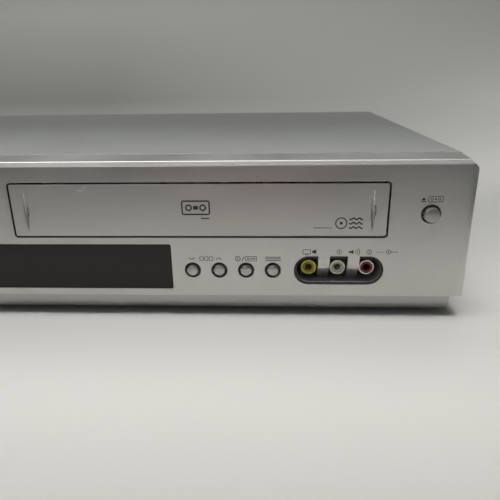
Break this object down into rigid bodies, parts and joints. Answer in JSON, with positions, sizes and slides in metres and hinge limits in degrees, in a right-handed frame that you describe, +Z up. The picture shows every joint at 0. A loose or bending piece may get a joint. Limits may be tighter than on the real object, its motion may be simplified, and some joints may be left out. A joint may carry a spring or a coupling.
{
  "type": "dvd vcr combo player",
  "caption": "Low silver disc and tape combination player with a disc drawer, a swinging cassette door, display window, push buttons and front phono jacks.",
  "frame": {"origin": "centre of the bounding box at the level the feet rest on", "axes": "+X to the right seen from the front, along the width; +Y from the front face to the rear; +Z up"},
  "size_m": [0.4304, 0.312, 0.0871],
  "materials": {
    "silver_bezel": "silver-painted moulded ABS",
    "cover_paint": "satin grey-silver paint on steel sheet",
    "zinc_steel": "zinc-plated steel sheet",
    "bright_steel": "bright steel",
    "rubber": "black rubber",
    "window_smoke": "smoked acrylic, polished",
    "pocket_smoke": "smoky moulded plastic",
    "jack_metal": "nickel-plated brass",
    "core_yellow": "yellow insulator",
    "core_white": "white insulator",
    "core_red": "dark red insulator",
    "board_green": "circuit board with its parts",
    "black_plastic": "black moulded plastic",
    "gear_white": "natural acetal",
    "cast_alloy": "machined aluminium"
  },
  "bodies": {
    "root": {"front_panel": "silver_bezel", "top_cover": "cover_paint", "bottom_chassis": "zinc_steel", "rear_panel": "zinc_steel", "feet": "rubber", "cover_screws": "bright_steel", "display_window": "window_smoke", "aux_pocket": "pocket_smoke", "jack_sleeves": "jack_metal", "yellow_cores": "core_yellow", "white_cores": "core_white", "red_cores": "core_red", "front_boards": "board_green", "loader_frame": "black_plastic", "loading_motor": "bright_steel", "loading_belt": "rubber", "clamp_bridge": "zinc_steel", "deck_chassis": "zinc_steel", "carriage_sides": "zinc_steel", "lower_drum": "cast_alloy", "capstan_motor": "cast_alloy", "tape_heads": "cast_alloy", "main_board": "board_green", "power_board": "board_green", "rear_sockets": "black_plastic", "tuner_module": "zinc_steel", "mains_inlet": "black_plastic", "ribbon_cables": "gear_white"},
    "door": {"cassette_door": "silver_bezel", "door_spring": "bright_steel"},
    "tray": {"disc_tray": "black_plastic", "tray_front": "silver_bezel"},
    "tray_gear": {"tray_gear": "gear_white"},
    "motor_pulley": {"motor_pulley": "gear_white"},
    "traverse": {"traverse": "black_plastic", "sled_drive": "bright_steel"},
    "turntable": {"turntable": "black_plastic"},
    "pickup": {"optical_pickup": "cast_alloy"},
    "lead_screw": {"lead_screw": "bright_steel"},
    "clamper": {"clamper": "black_plastic"},
    "carriage": {"carriage_slider": "zinc_steel"},
    "holder": {"cassette_holder": "zinc_steel"},
    "head_drum": {"upper_drum": "cast_alloy"},
    "capstan": {"capstan": "bright_steel"},
    "pinch_arm": {"pinch_arm": "bright_steel"},
    "pinch_roller": {"pinch_roller": "rubber"},
    "supply_reel": {"supply_reel": "black_plastic"},
    "takeup_reel": {"takeup_reel": "black_plastic"},
    "supply_guide": {"supply_guide": "bright_steel"},
    "takeup_guide": {"takeup_guide": "bright_steel"},
    "eject_button": {"eject_button": "silver_bezel"},
    "standby_button": {"standby_button": "silver_bezel"},
    "open_close_button": {"open_close_button": "silver_bezel"},
    "stop_button": {"stop_button": "silver_bezel"},
    "play_button": {"play_button": "silver_bezel"},
    "record_button": {"record_button": "silver_bezel"},
    "prog_down_button": {"prog_down_button": "silver_bezel"},
    "prog_up_button": {"prog_up_button": "silver_bezel"},
    "source_button": {"source_button": "silver_bezel"},
    "scan_button": {"scan_button": "silver_bezel"}
  },
  "joints": [
    {"name": "door_swing", "type": "hinge", "parent": "root", "child": "door", "pos_m": [0.0702, -0.148, 0.07855], "axis": [1, 0, 0], "range_deg": [0, 90], "stiffness_Nm_per_rad": 0.006, "springref_deg": -22.92},
    {"name": "eject_press", "type": "slide", "parent": "root", "child": "eject_button", "axis": [0, 1, 0], "range_m": [0, 0.0005], "stiffness_N_per_m": 300, "springref_m": -0.002},
    {"name": "standby_press", "type": "slide", "parent": "root", "child": "standby_button", "axis": [0, 1, 0], "range_m": [0, 0.0005], "stiffness_N_per_m": 300, "springref_m": -0.002},
    {"name": "open_close_press", "type": "slide", "parent": "root", "child": "open_close_button", "axis": [0, 1, 0], "range_m": [0, 0.0005], "stiffness_N_per_m": 300, "springref_m": -0.002},
    {"name": "stop_press", "type": "slide", "parent": "root", "child": "stop_button", "axis": [0, 1, 0], "range_m": [0, 0.0005], "stiffness_N_per_m": 300, "springref_m": -0.002},
    {"name": "play_press", "type": "slide", "parent": "root", "child": "play_button", "axis": [0, 1, 0], "range_m": [0, 0.0005], "stiffness_N_per_m": 300, "springref_m": -0.002},
    {"name": "record_press", "type": "slide", "parent": "root", "child": "record_button", "axis": [0, 1, 0], "range_m": [0, 0.0005], "stiffness_N_per_m": 300, "springref_m": -0.002},
    {"name": "prog_down_press", "type": "slide", "parent": "root", "child": "prog_down_button", "axis": [0, 1, 0], "range_m": [0, 0.0005], "stiffness_N_per_m": 300, "springref_m": -0.002},
    {"name": "prog_up_press", "type": "slide", "parent": "root", "child": "prog_up_button", "axis": [0, 1, 0], "range_m": [0, 0.0005], "stiffness_N_per_m": 300, "springref_m": -0.002},
    {"name": "source_press", "type": "slide", "parent": "root", "child": "source_button", "axis": [0, 1, 0], "range_m": [0, 0.0005], "stiffness_N_per_m": 300, "springref_m": -0.002},
    {"name": "scan_press", "type": "slide", "parent": "root", "child": "scan_button", "axis": [0, 1, 0], "range_m": [0, 0.0005], "stiffness_N_per_m": 300, "springref_m": -0.002},
    {"name": "tray_slide", "type": "slide", "parent": "root", "child": "tray", "axis": [0, -1, 0], "range_m": [0, 0.136]},
    {"name": "tray_gear_turn", "type": "hinge", "parent": "root", "child": "tray_gear", "pos_m": [-0.155, -0.123, 0.054], "axis": [0, 0, 1], "continuous": true},
    {"name": "motor_pulley_turn", "type": "hinge", "parent": "root", "child": "motor_pulley", "pos_m": [-0.12, -0.126, 0.047], "axis": [0, 0, 1], "continuous": true},
    {"name": "traverse_tilt", "type": "hinge", "parent": "root", "child": "traverse", "pos_m": [-0.11, 0.013, 0.0517], "axis": [1, 0, 0], "range_deg": [0, 4]},
    {"name": "turntable_spin", "type": "hinge", "parent": "traverse", "child": "turntable", "pos_m": [-0.11, -0.077, 0.062], "axis": [0, 0, 1], "continuous": true},
    {"name": "pickup_slide", "type": "slide", "parent": "traverse", "child": "pickup", "axis": [0, 1, 0], "range_m": [0, 0.034]},
    {"name": "lead_screw_turn", "type": "hinge", "parent": "traverse", "child": "lead_screw", "pos_m": [-0.138, -0.033, 0.0557], "axis": [0, 1, 0], "continuous": true},
    {"name": "clamper_spin", "type": "hinge", "parent": "root", "child": "clamper", "pos_m": [-0.11, -0.077, 0.074], "axis": [0, 0, 1], "continuous": true},
    {"name": "carriage_in", "type": "slide", "parent": "root", "child": "carriage", "axis": [0, 1, 0], "range_m": [0, 0.044]},
    {"name": "holder_down", "type": "slide", "parent": "carriage", "child": "holder", "axis": [0, 0, -1], "range_m": [0, 0.0152]},
    {"name": "head_drum_spin", "type": "hinge", "parent": "root", "child": "head_drum", "pos_m": [0.0672, 0.069, 0.0277], "axis": [0, -0.0958, 0.9954], "continuous": true},
    {"name": "capstan_spin", "type": "hinge", "parent": "root", "child": "capstan", "pos_m": [0.1172, 0.023, 0.03], "axis": [0, 0, 1], "continuous": true},
    {"name": "pinch_arm_swing", "type": "hinge", "parent": "root", "child": "pinch_arm", "pos_m": [0.1442, 0.053, 0.034], "axis": [0, 0, 1], "range_deg": [0, 24]},
    {"name": "pinch_roller_spin", "type": "hinge", "parent": "pinch_arm", "child": "pinch_roller", "pos_m": [0.11291, 0.04283, 0.044], "axis": [0, 0, 1], "continuous": true},
    {"name": "supply_reel_spin", "type": "hinge", "parent": "root", "child": "supply_reel", "pos_m": [0.0242, -0.023, 0.034], "axis": [0, 0, 1], "continuous": true},
    {"name": "takeup_reel_spin", "type": "hinge", "parent": "root", "child": "takeup_reel", "pos_m": [0.1162, -0.023, 0.034], "axis": [0, 0, 1], "continuous": true},
    {"name": "supply_guide_slide", "type": "slide", "parent": "root", "child": "supply_guide", "axis": [-0.1521, 0.9884, 0], "range_m": [0, 0.046]},
    {"name": "takeup_guide_slide", "type": "slide", "parent": "root", "child": "takeup_guide", "axis": [0.1521, 0.9884, 0], "range_m": [0, 0.046]}
  ],
  "couplings": [
    {"joint": "tray_gear_turn", "follows": "tray_slide", "rad_per_m": 125},
    {"joint": "motor_pulley_turn", "follows": "tray_slide", "rad_per_m": 416.67},
    {"joint": "lead_screw_turn", "follows": "pickup_slide", "rad_per_m": 2094.4},
    {"joint": "takeup_guide_slide", "follows": "supply_guide_slide", "ratio": 1}
  ]
}
